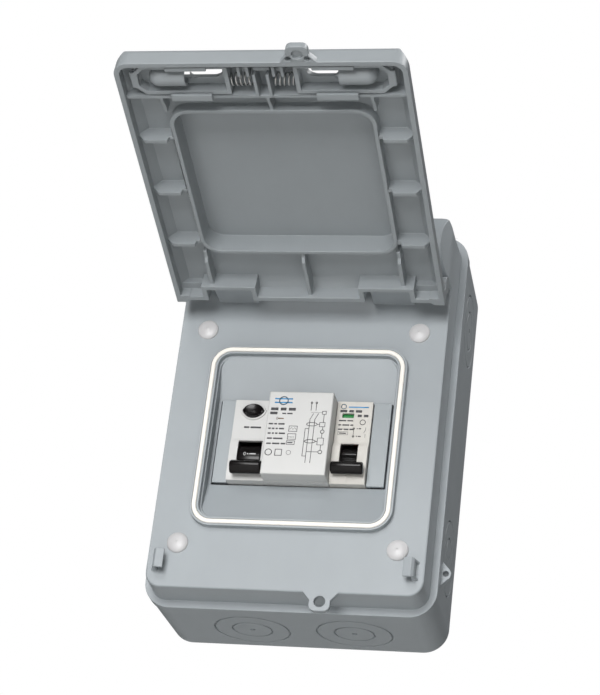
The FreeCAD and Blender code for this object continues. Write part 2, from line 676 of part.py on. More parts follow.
def case_shell(outline, x0, x1, wall, open_side):
    """A device case drawn out between two planes, hollow, open on one side."""
    face = Part.Face(Part.makePolygon([V(0, y, z) for y, z in outline + [outline[0]]]))
    solid = face.extrude(V(x1 - x0, 0, 0))
    solid.translate(V(x0, 0, 0))
    inner = face.makeOffset2D(-wall)
    start = x0 + wall if open_side == RIGHT else x0 - 1
    stop = x1 + 1 if open_side == RIGHT else x1 - wall
    hollow = inner.extrude(V(stop - start, 0, 0))
    hollow.translate(V(start, 0, 0))
    return solid.cut(hollow)


def rail_foot(x0, x1):
    """Fixed hook over the rail's upper edge, and the guides of the sliding clip below."""
    hook = side_prism([(RAIL_Y - 0.6, 17.9), (RAIL_Y - 0.6, 25.0), (RAIL_Y + 3.6, 25.0),
                       (RAIL_Y + 3.6, 15.0), (RAIL_Y + 1.5, 15.0), (RAIL_Y + 1.5, 17.9)], x0, x1)
    return hook


def clip_guide(x0, x1, lip_side):
    guide = box(x0, x1, RAIL_Y - 0.6, RAIL_Y + 5.0, -38.0, -20.0)
    lip_x = (x0, x1 + 1.2) if lip_side == RIGHT else (x0 - 1.2, x1)
    lip = box(lip_x[0], lip_x[1], RAIL_Y + 4.0, RAIL_Y + 5.0, -38.0, -20.0)
    return fuse([guide, lip])


def din_clip(x0, x1):
    """Sliding clip that holds the rail's lower edge, with a slot for a screwdriver."""
    mid = (x0 + x1) / 2.0
    blade = box(x0, x1, RAIL_Y + 1.5, RAIL_Y + 3.7, -47.0, -15.0)
    blade = blade.cut(box(mid - 2.0, mid + 2.0, RAIL_Y, RAIL_Y + 6, -46.0, -43.4))
    bridge = box(x0, x1, RAIL_Y + 0.3, RAIL_Y + 1.6, -40.0, -18.4)
    return fuse([blade, bridge])


def lever(centre, half_drum, drum_r, bar_x, reach, half_bar, off_angle, pin_r):
    """A rocker: a drum on its pin, a neck, and a grip bar that points to the front."""
    x0, x1 = half_drum
    drum = rod(x0, 0, 0, drum_r, x1 - x0, (1, 0, 0))
    drum = drum.cut(box(x0 - 1, x1 + 1, 3.2, drum_r + 1, -drum_r, drum_r))
    neck = side_prism([(-3, -3.4), (-reach[0] - 0.5, -2.0), (-reach[0] - 0.5, 2.0), (-3, 3.4)],
                      x0, x1)
    grip = side_prism([(-reach[0], -half_bar), (-reach[1] + 1.4, -half_bar),
                       (-reach[1], -half_bar + 1.4), (-reach[1], half_bar - 1.4),
                       (-reach[1] + 1.4, half_bar), (-reach[0], half_bar)], bar_x[0], bar_x[1])
    tail = side_prism([(0, -2.2), (6.5, -1.4), (6.5, 1.4), (0, 2.2)], x0 + 2, x1 - 2)
    body = fuse([drum, neck, grip, tail]).cut(rod(x0 - 1, 0, 0, pin_r + 0.05,
                                                  x1 - x0 + 2, (1, 0, 0)))
    body.rotate(V(0, 0, 0), V(1, 0, 0), off_angle)
    body.translate(centre)
    return body


def lens(x, z, half_w, half_h, y0, y1):
    """An eye-shaped block: two arcs that meet at rounded-off points."""
    points = [V(x - half_w, y0, z), V(x, y0, z + half_h), V(x + half_w, y0, z),
              V(x, y0, z - half_h)]
    upper = Part.Arc(points[0], points[1], points[2]).toShape()
    lower = Part.Arc(points[2], points[3], points[0]).toShape()
    return Part.Face(Part.Wire([upper, lower])).extrude(V(0, y1 - y0, 0))


def terminal_openings(xs, radius):
    cuts = []
    for x in xs:
        for z in (-TERMINAL_Z, TERMINAL_Z):
            cuts.append(rod(x, SHOULDER_Y - 1, z, radius, 4, (0, 1, 0)))
            end = CASE_Z - 3 if z > 0 else -CASE_Z - 1
            cuts.append(box(x - 3.6, x + 3.6, 25.5, 33.5, end, end + 4))
    return cuts


def rcd_case_left():
    x0, x1 = RCD_X[0], RCD_SPLIT
    body = case_shell(case_outline(RCD_FACE_Y, RCD_SIDE_TOP, RCD_HUMP_Y), x0, x1, 1.8, RIGHT)
    body = fuse([body, rail_foot(x0, x1 - 0.4), clip_guide(x0, x0 + 3, RIGHT)])
    collar = lens(TEST_X, TEST_Z, 6.4, 4.6, RCD_FACE_Y - 0.9, RCD_FACE_Y + 0.7)
    body = fuse([body, collar])
    body = body.cut(lens(TEST_X, TEST_Z, 5.5, 3.75, -3, 5))
    body = body.cut(box(-30.3, -18.4, -1, 4, -18.3, -1.7))
    return body.cut(rod(x0 + 0.9, RCD_TOGGLE.y, RCD_TOGGLE.z, 1.52, 3, (1, 0, 0)))


def rcd_case_right():
    x0, x1 = RCD_SPLIT, RCD_X[1]
    body = case_shell(case_outline(2.0, NOSE_TOP), x0, x1, 1.8, LEFT)
    body = fuse([body, rail_foot(x0 + 0.4, x1), clip_guide(x1 - 3, x1, LEFT)])
    for cut in terminal_openings(RCD_POLES, 3.3):
        body = body.cut(cut)
    return body


def rcd_front_cover():
    x0, x1 = RCD_SPLIT, RCD_X[1]
    outer = box(x0, x1, RAISED_Y, 2.0, -22.4, NOSE_TOP)
    corners = [edge for edge in outer.Edges
               if abs(edge.BoundBox.YMax - RAISED_Y) < 0.01 and edge.Length > 5]
    outer = outer.makeFillet(0.7, corners)
    hollow = box(x0 + 1.6, x1 - 1.6, RAISED_Y + 1.8, 3.0, -20.8, 19.6)
    return outer.cut(hollow)


def rcd_test_button():
    front = RCD_FACE_Y - 1.9
    cap = lens(TEST_X, TEST_Z, 5.3, 3.55, front, RCD_FACE_Y + 2.7)
    dish = Part.makeSphere(16.0, V(TEST_X, front - 15.4, TEST_Z))
    flange = lens(TEST_X, TEST_Z, 6.3, 4.1, RCD_FACE_Y + 2.3, RCD_FACE_Y + 3.3)
    stem = rod(TEST_X, RCD_FACE_Y + 3.2, TEST_Z, 1.4, 3.5, (0, 1, 0))
    return fuse([cap.cut(dish), flange, stem])


def rcd_internals():
    """Fault sensor, trip relay, board, contacts and terminals of the residual current device."""
    pieces = {}
    core = tube(0, 33.0, -21.0, 11.0, 5.6, 9.0, (0, 0, 1))
    pieces["rcd_toroid_core"] = core
    wrap = tube(0, 33.0, -21.6, 11.7, 5.0, 10.2, (0, 0, 1))
    wrap = wrap.cut(tube(0, 33.0, -21.1, 11.1, 5.5, 9.2, (0, 0, 1)))
    pieces["rcd_toroid_winding"] = wrap.common(box(-12, -2.6, 20, 46, -23, -10))
    bars = []
    for x, lane in zip(RCD_POLES, (-1.9, 1.9)):
        bars.append(fuse([box(lane - 1.4, lane + 1.4, 31.6, 34.4, -25.0, -4.5),
                          box(min(x, lane) - 1.4, max(x, lane) + 1.4, 31.6, 34.4, -26.5, -24.0),
                          box(x - 1.4, x + 1.4, 31.6, 34.4, -29.2, -24.0),
                          box(min(x, lane) - 1.4, max(x, lane) + 1.4, 31.6, 34.4, -6.0, -3.5),
                          box(x - 1.4, x + 1.4, 31.6, 34.4, -6.0, 1.0)]))
    pieces["rcd_conductors"] = bars
    y, z = RELAY.y, RELAY.z
    relay = box(-13.4, 12.6, y - 6.0, y + 5.6, z - 7.0, z + 7.0)
    relay = relay.cut(box(-11.9, 11.1, y - 5.0, y + 6.6, z - 5.6, z + 5.6))
    relay = relay.cut(rod(-14, y, z, 2.05, 3, (1, 0, 0)))
    coil_body = tube(-11.8, y, z, 4.6, 2.0, 22.8, (1, 0, 0))
    pieces["rcd_trip_relay"] = [relay, coil_body]
    pieces["rcd_relay_plunger"] = rod(-15.2, y, z, 1.9, 22, (1, 0, 0))
    board = box(-13.6, 13.6, 47.0, 48.4, -37.0, 37.0)
    parts = [box(-10, -4, 44.2, 47.1, 10, 18), box(2, 9, 43.6, 47.1, 20, 28),
             rod(6, 42.6, 8, 2.6, 4.5, (0, 1, 0)), rod(-8, 42.8, -30, 2.2, 4.3, (0, 1, 0)),
             box(-3, 1, 45.2, 47.1, -36, -30)]
    pieces["rcd_circuit_board"] = fuse([board] + parts)
    fixed = []
    for x in RCD_POLES:
        strip = fuse([box(x - 1.6, x + 1.6, 31.8, 33.8, 12.5, 29.2),
                      box(x - 1.6, x + 1.6, 28.4, 33.8, 12.4, 14.2),
                      rod(x, 30.4, 11.2, 1.5, 1.3, (0, 0, 1))])
        fixed.append(strip)
    pieces["rcd_fixed_contacts"] = fixed
    y, z = CONTACT_SHAFT.y, CONTACT_SHAFT.z
    shaft = rod(-13.6, y, z, 1.6, 27.2, (1, 0, 0))
    arms = [fuse([box(x - 1.3, x + 1.3, y, 33.6, z - 1.3, z + 1.3),
                  rod(x, 32.0, z + 1.2, 1.5, 1.0, (0, 0, 1))]) for x in RCD_POLES]
    bridge = box(-10.0, 10.0, y - 2.0, y + 2.2, z - 2.2, z + 2.2)
    pieces["rcd_moving_contacts"] = fuse([shaft, bridge] + arms)
    return pieces


def terminal_cage(x, z):
    """A box clamp: its window takes the wire, and the screw closes it."""
    cage = box(x - 4.2, x + 4.2, 22.5, 35.5, z - 4.0, z + 4.0)
    cage = cage.cut(box(x - 3.0, x + 3.0, 24.6, 34.0, z - 5, z + 5))
    return cage.cut(rod(x, 21, z, 2.05, 5, (0, 1, 0)))


def clamp_screw(x, z):
    head = rod(x, 13.0, z, 2.9, 4.0, (0, 1, 0))
    shank = rod(x, 16.9, z, 2.0, 9.0, (0, 1, 0))
    cross = fuse([box(x - 2.2, x + 2.2, 12, 15.0, z - 0.5, z + 0.5),
                  box(x - 0.5, x + 0.5, 12, 15.0, z - 2.2, z + 2.2)])
    return fuse([head, shank]).cut(cross)


def mcb_half(side):
    x0, x1 = (MCB_X[0], MCB_MID) if side == LEFT else (MCB_MID, MCB_X[1])
    open_side = RIGHT if side == LEFT else LEFT
    body = case_shell(case_outline(MCB_FACE_Y, NOSE_TOP, MCB_HUMP_Y), x0, x1, 1.4, open_side)
    outer = (x0, x0 + 2.6) if side == LEFT else (x1 - 2.6, x1)
    body = fuse([body, rail_foot(x0, x1), clip_guide(outer[0], outer[1], open_side)])
    cuts = [box(20.1, 28.8, -1, 5, -17.6, -1.5),
            box(FLAG[0], FLAG[1], MCB_FACE_Y - 1, MCB_FACE_Y + 1.6, FLAG[2], FLAG[3])]
    cuts += terminal_openings((MCB_MID,), 3.3)
    for z in (-38.0, 38.0):
        for y in (15.0, 48.0):
            cuts.append(rod(MCB_X[0] - 1, y, z, 1.55, 20, (1, 0, 0)))
    cuts.append(rod(MCB_X[0] + 0.7, MCB_TOGGLE.y, MCB_TOGGLE.z, 1.22,
                    MCB_X[1] - MCB_X[0] - 1.4, (1, 0, 0)))
    for cut in cuts:
        body = body.cut(cut)
    return body


def indicator_drum():
    """A curved plate on a hub: its lower part shows when off, its upper part when on."""
    x0, x1 = FLAG[0] - 0.6, FLAG[1] + 0.6
    y, z = FLAG_AXIS.y, FLAG_AXIS.z
    plate = tube(x0, y, z, FLAG_R, FLAG_R - 1.0, x1 - x0, (1, 0, 0))
    reach = 20.0
    low, high = math.radians(-12.0), math.radians(40.0)
    sector = side_prism([(y, z), (y - reach * math.cos(low), z + reach * math.sin(low)),
                         (y - reach * math.cos(high), z + reach * math.sin(high))], x0, x1)
    hub = tube(x0, y, z, 1.8, 0.9, x1 - x0, (1, 0, 0))
    spoke = box(21.2, 22.5, y - FLAG_R + 0.5, y - 1.4, z - 0.6, z + 1.4)
    return fuse([plate.common(sector), hub, spoke])


def mcb_internals():
    """Magnetic and thermal trips, contacts, arc chute and indicator of the circuit breaker."""
    pieces = {}
    pieces["mcb_flag"] = indicator_drum()
    pieces["mcb_coil"] = coil(V(MCB_MID, 33.0, 3.0), V(0, 0, 1), 4.4, 0.7, 2.0, 7.0)
    pieces["mcb_plunger"] = rod(MCB_MID, 33.0, -1.0, 2.6, 21.0, (0, 0, 1))
    pieces["mcb_bimetal"] = fuse([box(MCB_MID - 2.5, MCB_MID + 2.5, 43.0, 44.0, -6.0, 27.0),
                                  box(MCB_MID - 2.5, MCB_MID + 2.5, 35.7, 44.0, 26.0, 27.4)])
    plates = []
    for n in range(8):
        y = 30.0 + 2.1 * n
        plate = box(MCB_MID - 5.6, MCB_MID + 5.6, y, y + 0.9, -25.0, -13.5)
        notch = box(MCB_MID - 1.6, MCB_MID + 1.6, y - 1, y + 2, -18.5, -13)
        plates.append(plate.cut(notch))
    walls = [box(MCB_MID - 6.8, MCB_MID - 5.8, 29.4, 46.4, -25.4, -13.2),
             box(MCB_MID + 5.8, MCB_MID + 6.8, 29.4, 46.4, -25.4, -13.2)]
    pieces["mcb_arc_chute"] = plates + walls
    pieces["mcb_fixed_contact"] = fuse([box(MCB_MID - 1.8, MCB_MID + 1.8, 26.4, 27.8, -29.0, -6.0),
                                        rod(MCB_MID, 25.3, -8.0, 1.4, 1.2, (0, 1, 0))])
    arm = fuse([rod(MCB_MID - 2.6, 22.0, 8.0, 2.0, 5.2, (1, 0, 0)),
                side_prism([(21.0, 8.0), (23.0, 8.0), (20.2, -9.6), (18.2, -9.6)],
                           MCB_MID - 1.2, MCB_MID + 1.2),
                rod(MCB_MID, 19.4, -8.0, 1.3, 1.6, (0, 1, 0))])
    pieces["mcb_moving_contact"] = arm
    return pieces


def mcb_rivets():
    rivets = []
    for z in (-38.0, 38.0):
        for y in (15.0, 48.0):
            shank = rod(MCB_X[0] + 0.2, y, z, 1.5, MCB_X[1] - MCB_X[0] - 0.4, (1, 0, 0))
            rivets.append(shank)
    return rivets


# ---- write every piece ----
def main():
    os.makedirs("parts", exist_ok=True)
    save("rear_box", rear_box())
    save("front_cover", front_cover())
    save("cover_gasket", gasket_ring(0.06))
    save("door_seal", ring_wall(SEAL_X, SEAL_Z, SEAL_R, 1.12, -3.45, -1.05))
    save("cover_screws", cover_screws())
    save("screw_caps", screw_caps())
    save("blank_left", blank(-OPEN_X + 0.8, RCD_X[0] - 0.25))
    save("blank_right", blank(MCB_X[1] + 0.3, OPEN_X - 0.4))
    save("din_rail", din_rail())
    save("rail_screws", rail_screws())
    save("terminal_holder", terminal_holder())
    save("neutral_bar", terminal_bar(LEFT))
    save("earth_bar", terminal_bar(RIGHT))
    save("bar_screws", bar_screws())
    save("lid", lid())
    save("hinge_pin_right", hinge_pin())
    save("hinge_pin_left", mirrored(hinge_pin()))
    save("latch_left", open_lid(latch_left()))
    save("latch_right", open_lid(mirrored(latch_left())))
    save("latch_spring_left", open_lid(latch_spring()))
    save("latch_spring_right", open_lid(mirrored(latch_spring())))

    save("rcd_case_left", rcd_case_left())
    save("rcd_case_right", rcd_case_right())
    save("rcd_front_cover", rcd_front_cover())
    save("rcd_toggle", lever(RCD_TOGGLE, (-29.9, -18.8), 7.9, (-31.6, -16.2), (11.8, 17.4), 3.2,
                             RCD_OFF, 1.5))
    save("rcd_toggle_pin", rod(RCD_X[0] + 1.0, RCD_TOGGLE.y, RCD_TOGGLE.z, 1.5, 17.4, (1, 0, 0)))
    save("rcd_test_button", rcd_test_button())
    save("rcd_test_spring", coil(V(TEST_X, RCD_FACE_Y + 3.8, TEST_Z), V(0, 1, 0), 2.3, 0.38,
                                 1.9, 3.0))
    for name, shapes in rcd_internals().items():
        save(name, shapes)
    save("rcd_terminals", [terminal_cage(x, z) for x in RCD_POLES
                           for z in (-TERMINAL_Z, TERMINAL_Z)])
    save("rcd_terminal_screws", [clamp_screw(x, z) for x in RCD_POLES
                                 for z in (-TERMINAL_Z, TERMINAL_Z)])
    save("rcd_din_clip", din_clip(RCD_X[0] + 3.3, RCD_X[1] - 3.3))

    save("mcb_case_left", mcb_half(LEFT))
    save("mcb_case_right", mcb_half(RIGHT))
    save("mcb_toggle", lever(MCB_TOGGLE, (20.4, 28.4), 7.5, (17.4, 33.1), (11.4, 16.3), 3.0,
                             MCB_OFF, 1.2))
    save("mcb_toggle_pin", rod(MCB_X[0] + 0.8, MCB_TOGGLE.y, MCB_TOGGLE.z, 1.2, 15.9, (1, 0, 0)))
    for name, shapes in mcb_internals().items():
        save(name, shapes)
    save("mcb_terminals", [terminal_cage(MCB_MID, z) for z in (-TERMINAL_Z, TERMINAL_Z)])
    save("mcb_terminal_screws", [clamp_screw(MCB_MID, z) for z in (-TERMINAL_Z, TERMINAL_Z)])
    save("mcb_rivets", mcb_rivets())
    save("mcb_din_clip", din_clip(MCB_X[0] + 2.9, MCB_X[1] - 2.9))


main()
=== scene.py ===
"""Looks for an open weatherproof enclosure that holds a residual current device and a breaker.

Every piece is built in metres in the frame's own axes: +X right, +Y into the wall, +Z up.
Millimetre sizes are turned into metres by MM. Pieces made here are placed by at(), in
millimetres about the device opening, on the cover's front face.
"""
import itertools
import json
import math

import bmesh
import bpy
from mathutils import Matrix, Vector


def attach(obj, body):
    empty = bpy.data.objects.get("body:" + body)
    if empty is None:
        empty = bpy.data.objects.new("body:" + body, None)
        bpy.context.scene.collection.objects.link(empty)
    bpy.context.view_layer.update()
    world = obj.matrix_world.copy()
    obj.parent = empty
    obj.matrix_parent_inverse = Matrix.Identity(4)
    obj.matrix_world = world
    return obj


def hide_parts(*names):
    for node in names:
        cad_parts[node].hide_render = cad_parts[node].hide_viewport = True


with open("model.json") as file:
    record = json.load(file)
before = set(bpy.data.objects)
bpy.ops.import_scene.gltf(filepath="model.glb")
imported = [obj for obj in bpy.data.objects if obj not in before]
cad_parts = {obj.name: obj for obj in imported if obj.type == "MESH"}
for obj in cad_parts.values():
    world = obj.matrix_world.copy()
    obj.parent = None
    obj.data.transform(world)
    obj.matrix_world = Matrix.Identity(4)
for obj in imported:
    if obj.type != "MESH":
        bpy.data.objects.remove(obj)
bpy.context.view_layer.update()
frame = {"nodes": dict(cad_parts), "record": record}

MM = 0.001
NODES = frame["nodes"]


# ---------------------------------------------------------------- node helpers
class Nodes:
    """A small builder for one material's node tree."""

    def __init__(self, name):
        self.material = bpy.data.materials.new(name)
        self.material.use_nodes = True
        self.tree = self.material.node_tree
        self.shader = self.tree.nodes["Principled BSDF"]
        self.place = self.add("ShaderNodeTexCoord").outputs["Object"]

    def add(self, kind, **settings):
        node = self.tree.nodes.new(kind)
        for key, value in settings.items():
            setattr(node, key, value)
        return node

    def link(self, output, target):
        self.tree.links.new(output, target)

    def noise(self, scale, detail=2.0, roughness=0.5, stretch=None):
        node = self.add("ShaderNodeTexNoise")
        node.inputs["Scale"].default_value = scale
        node.inputs["Detail"].default_value = detail
        node.inputs["Roughness"].default_value = roughness
        source = self.place
        if stretch:
            mapping = self.add("ShaderNodeMapping")
            mapping.inputs["Scale"].default_value = stretch
            self.link(source, mapping.inputs["Vector"])
            source = mapping.outputs["Vector"]
        self.link(source, node.inputs["Vector"])
        return node.outputs["Fac"]

    def ramp(self, value, stops):
        node = self.add("ShaderNodeValToRGB")
        elements = node.color_ramp.elements
        while len(elements) < len(stops):
            elements.new(0.5)
        for element, (position, colour) in zip(elements, stops):
            element.position = position
            element.color = (*colour, 1.0)
        self.link(value, node.inputs["Fac"])
        return node.outputs["Color"]

    def spread(self, value, low, high):
        node = self.add("ShaderNodeMapRange")
        node.inputs["To Min"].default_value = low
        node.inputs["To Max"].default_value = high
        self.link(value, node.inputs["Value"])
        return node.outputs["Result"]

    def mix(self, factor, first, second):
        """Blend two colour outputs; factor is a number or an output."""
        node = self.add("ShaderNodeMix", data_type="RGBA")
        sockets = (node.inputs[0], node.inputs[6], node.inputs[7])
        for value, socket in zip((factor, first, second), sockets):
            if isinstance(value, bpy.types.NodeSocket):
                self.link(value, socket)
            else:
                socket.default_value = value
        return node.outputs[2]

    def bump(self, layers):
        """layers is a list of (height output, strength, distance in metres)."""
        normal = None
        for height, strength, distance in layers:
            node = self.add("ShaderNodeBump")
            node.inputs["Strength"].default_value = strength
            node.inputs["Distance"].default_value = distance
            self.link(height, node.inputs["Height"])
            if normal is not None:
                self.link(normal, node.inputs["Normal"])
            normal = node.outputs["Normal"]
        self.link(normal, self.shader.inputs["Normal"])

    def set(self, socket, value):
        self.shader.inputs[socket].default_value = value

    def colour(self, output):
        self.link(output, self.shader.inputs["Base Color"])

    def roughness(self, value, low, high):
        self.link(self.spread(value, low, high), self.shader.inputs["Roughness"])


def shade(colour, factor):
    return tuple(min(1.0, c * factor) for c in colour)


def moulded(name, colour, roughness=0.45, grain=2600.0, depth=0.025, mottle=0.03,
            specular=0.5):
    """Injection-moulded plastic: spark-eroded grain, faint flow marks and uneven gloss.

    depth is the grain's in millimetres; mottle is how far the colour wanders.
    """
    m = Nodes(name)
    clouds = m.noise(28.0, 4.0, 0.55)
    flow = m.noise(9.0, 3.0, 0.6, stretch=(5.0, 1.0, 1.0))
    base = m.ramp(clouds, [(0.3, shade(colour, 1 - mottle)), (0.7, shade(colour, 1 + mottle))])
    streaks = m.ramp(flow, [(0.35, shade(colour, 1 - mottle * 0.6)),
                            (0.65, shade(colour, 1 + mottle * 0.6))])
    m.colour(m.mix(0.5, base, streaks))
    fine = m.noise(grain, 2.0, 0.6)
    broad = m.noise(260.0, 3.0, 0.5)
    m.roughness(broad, roughness - 0.05, roughness + 0.06)
    m.bump([(broad, 0.12, 0.06 * MM), (fine, 0.35, depth * MM)])
    m.set("IOR", 1.47)
    m.set("Specular IOR Level", specular)
    return m.material


def metal(name, colour):
    """Plated or drawn metal: fine uneven lines and a little tarnish."""
    m = Nodes(name)
    lines = m.noise(900.0, 3.0, 0.6, stretch=(1.0, 1.0, 1.0))
    tarnish = m.noise(160.0, 4.0, 0.6)
    m.colour(m.ramp(tarnish, [(0.3, shade(colour, 0.8)), (0.65, colour)]))
    m.roughness(lines, 0.22, 0.46)
    m.bump([(lines, 0.25, 0.01 * MM)])
    m.set("Metallic", 1.0)
    return m.material


def indicator(name):
    """The breaker's flag: green below, red above."""
    m = Nodes(name)
    split = m.add("ShaderNodeSeparateXYZ")
    m.link(m.place, split.inputs["Vector"])
    above = m.add("ShaderNodeMath", operation="GREATER_THAN")
    above.inputs[1].default_value = FLAG_SPLIT_Z
    m.link(split.outputs["Z"], above.inputs[0])
    grain = m.noise(1500.0, 2.0)
    green = m.ramp(grain, [(0.3, (0.004, 0.17, 0.03)), (0.7, (0.006, 0.23, 0.045))])
    red = m.ramp(grain, [(0.3, (0.42, 0.01, 0.01)), (0.7, (0.55, 0.015, 0.012))])
    m.colour(m.mix(above.outputs["Value"], green, red))
    m.roughness(grain, 0.34, 0.46)
    m.bump([(grain, 0.2, 0.01 * MM)])
    return m.material


def ink(name, colour):
    """Pad-printed ink: slightly uneven cover, a little rougher than the plastic."""
    m = Nodes(name)
    cover = m.noise(3200.0, 3.0, 0.7)
    pale = tuple(c * 0.8 + 0.1 for c in colour)
    m.colour(m.ramp(cover, [(0.35, colour), (0.8, pale)]))
    m.roughness(cover, 0.45, 0.6)
    m.bump([(cover, 0.15, 0.01 * MM)])
    return m.material


# ---------------------------------------------------------------- places shared with the model
# In millimetres, about the device opening unless the line says otherwise.
WALL_Y = 69.0            # cover's front face to the wall
DEVICE_DROP = 18.5       # device opening's centre below the enclosure's centre
BREAKER_SEAM_X = 24.85   # where the breaker's case halves meet
RCD_RAISED_Y = -7.3      # front of the residual current device's raised cover
RCD_SIDE_Y = 1.4         # front of its case beside the raised cover
MCB_FRONT_Y = 2.6        # front of the breaker
FLAG_SPLIT_Z = (13.65 + 2.6 - DEVICE_DROP) * MM   # in metres in the frame


def at(x, y, z):
    """From millimetres about the device opening to metres in the frame."""
    return Vector((x * MM, (y - WALL_Y) * MM, (z - DEVICE_DROP) * MM))


materials = {
    "housing_grey": moulded("housing_grey", (0.315, 0.343, 0.362), 0.46, depth=0.05, mottle=0.04),
    "lid_grey": moulded("lid_grey", (0.275, 0.298, 0.312), 0.36, depth=0.012, mottle=0.05),
    "cap_grey": moulded("cap_grey", (0.52, 0.515, 0.52), 0.34, depth=0.01),
    "blank_grey": moulded("blank_grey", (0.325, 0.355, 0.372), 0.4, depth=0.015, mottle=0.06),
    "seal_cream": moulded("seal_cream", (0.90, 0.87, 0.81), 0.8, grain=3500.0, depth=0.06),
    "device_white": moulded("device_white", (0.58, 0.58, 0.57), 0.42, depth=0.012),
    "breaker_white": moulded("breaker_white", (0.60, 0.58, 0.54), 0.42, depth=0.012),
    "lever_black": moulded("lever_black", (0.005, 0.004, 0.004), 0.2, depth=0.006, specular=0.25),
    "clip_black": moulded("clip_black", (0.02, 0.02, 0.02), 0.5),
    "flag_green": indicator("flag_green"),
    "zinc_steel": metal("zinc_steel", (0.62, 0.62, 0.61)),
    "brass": metal("brass", (0.72, 0.53, 0.24)),
    "copper": metal("copper", (0.75, 0.36, 0.2)),
    "ferrite": moulded("ferrite", (0.03, 0.03, 0.035), 0.6),
    "board_green": moulded("board_green", (0.02, 0.12, 0.05), 0.35),
    "holder_dark": moulded("holder_dark", (0.04, 0.04, 0.045), 0.5),
}
DARK_INK = ink("dark_ink", (0.05, 0.05, 0.055))
BLUE_INK = ink("blue_ink", (0.03, 0.28, 0.60))
WHITE_INK = ink("white_ink", (0.75, 0.75, 0.75))
BROWN_INK_COLOUR = (0.20, 0.13, 0.07)

CAD_SHARP = math.radians(28)      # CAD edges sharper than this stay hard
LEVER_SHARP = math.radians(40)
CAP_SHARP = math.radians(45)


def dress(mesh, material):
    """Give a mesh one material and smooth shading."""
    mesh.materials.clear()
    mesh.materials.append(material)
    for face in mesh.polygons:
        face.use_smooth = True


SLOTS = {}
for part in frame["record"]["subparts"]:
    SLOTS[part["node"]] = part["material_slot"]
    cad_mesh = NODES[part["node"]].data
    dress(cad_mesh, materials[part["material_slot"]])
    cad_mesh.set_sharp_from_angle(angle=CAD_SHARP)

BODY_OF = {}
for body, nodes in frame["record"]["behaviour"]["bodies"].items():
    for node in nodes:
        BODY_OF[node] = body


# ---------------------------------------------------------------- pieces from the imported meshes
def new_piece(name, mesh, body, material):
    piece = bpy.data.objects.new(name, mesh)
    bpy.context.scene.collection.objects.link(piece)
    dress(mesh, material)
    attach(piece, body)
    return piece


SAME_POINT = 0.001 * MM
SHORTEST_EDGE = 0.002 * MM
FLAT = math.radians(0.6)          # faces that meet flatter than this are one face
ROUNDED = math.radians(30)        # edges sharper than this are rounded


def soften(node, width, segments=2, wide=None, split=False):
    """Stand in for a node with a copy whose edges are rounded, width in millimetres.

    wide, if given, takes an edge's middle in metres and says how many times wider its round is.
    split cuts flat faces into triangles first, for parts whose flats have windows in them.
    """
    mesh = NODES[node].data.copy()
    mesh.name = node + "_rounded"
    bm = bmesh.new()
    bm.from_mesh(mesh)
    bmesh.ops.remove_doubles(bm, verts=bm.verts, dist=SAME_POINT)
    bmesh.ops.dissolve_limit(bm, angle_limit=FLAT, verts=bm.verts, edges=bm.edges)
    bmesh.ops.dissolve_degenerate(bm, edges=bm.edges, dist=SHORTEST_EDGE)
    if split:
        bmesh.ops.triangulate(bm, faces=bm.faces, quad_method="BEAUTY", ngon_method="BEAUTY")
    weights = bm.edges.layers.float.new("bevel_weight_edge")
    largest = 1.0
    for edge in bm.edges:
        edge.smooth = True
        if len(edge.link_faces) == 2 and edge.calc_face_angle(0.0) > ROUNDED:
            middle = (edge.verts[0].co + edge.verts[1].co) / 2
            edge[weights] = wide(middle) if wide else 1.0
            largest = max(largest, edge[weights])
    for edge in bm.edges:
        edge[weights] /= largest
    bm.to_mesh(mesh)
    bm.free()
    slot = SLOTS[node]
    piece = new_piece(node + "_rounded", mesh, BODY_OF[node], materials[slot])
    bevel = piece.modifiers.new("rounds", "BEVEL")
    bevel.width = width * largest * MM
    bevel.segments = segments
    bevel.limit_method = "WEIGHT"
    bevel.use_clamp_overlap = False
    bevel.miter_outer = "MITER_ARC"
    normals = piece.modifiers.new("flat_faces", "WEIGHTED_NORMAL")
    normals.keep_sharp = False
    normals.weight = 100
    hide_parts(node)


def on_plateau_edge(middle):
    """Wider rounds along the outline of the cover's raised front, clear of hooks and tab."""
    x, z = middle.x / MM, middle.z / MM + DEVICE_DROP
    level = middle.y / MM + WALL_Y
    outside = abs(x) > 59 or z < -70
    near_hook = 57 < abs(x) < 65.5 and -73 < z < -60
    near_tab = z < -76 and 7 < x < 31
    widened = abs(level) < 0.05 and outside and not near_hook and not near_tab
    return 3.0 if widened else 1.0


def off_the_seam(middle):
    """No rounds where the breaker's two case halves meet."""
    return 0.0 if abs(middle.x / MM - BREAKER_SEAM_X) < 0.1 else 1.0


soften("front_cover", 0.3, wide=on_plateau_edge)
soften("rear_box", 0.3)
soften("lid", 0.3, split=True)
for side in ("left", "right"):
    soften("latch_" + side, 0.25, split=True)
for side in ("left", "right"):
    soften("rcd_case_" + side, 0.22, split=True)
for side in ("left", "right"):
    soften("mcb_case_" + side, 0.2, wide=off_the_seam, split=True)
soften("rcd_front_cover", 0.35, segments=3)
for side in ("left", "right"):
    soften("blank_" + side, 0.25)
soften("rcd_test_button", 0.3, segments=3)
soften("door_seal", 0.85, segments=5)


# ---------------------------------------------------------------- mesh helpers, in millimetres
def loft(bm, rings):
    """Skin a list of equal rings of points, with a cap at each end."""
    rows = [[bm.verts.new(at(*point)) for point in ring] for ring in rings]
    count = len(rows[0])
    for row, following in zip(rows, rows[1:]):
        for k in range(count):
            after = (k + 1) % count
            bm.faces.new((row[k], row[after], following[after], following[k]))
    bm.faces.new(list(reversed(rows[0])))
    bm.faces.new(rows[-1])


def finish_mesh(bm, name):
    bmesh.ops.recalc_face_normals(bm, faces=bm.faces)
    mesh = bpy.data.meshes.new(name)
    bm.to_mesh(mesh)
    bm.free()
    return mesh


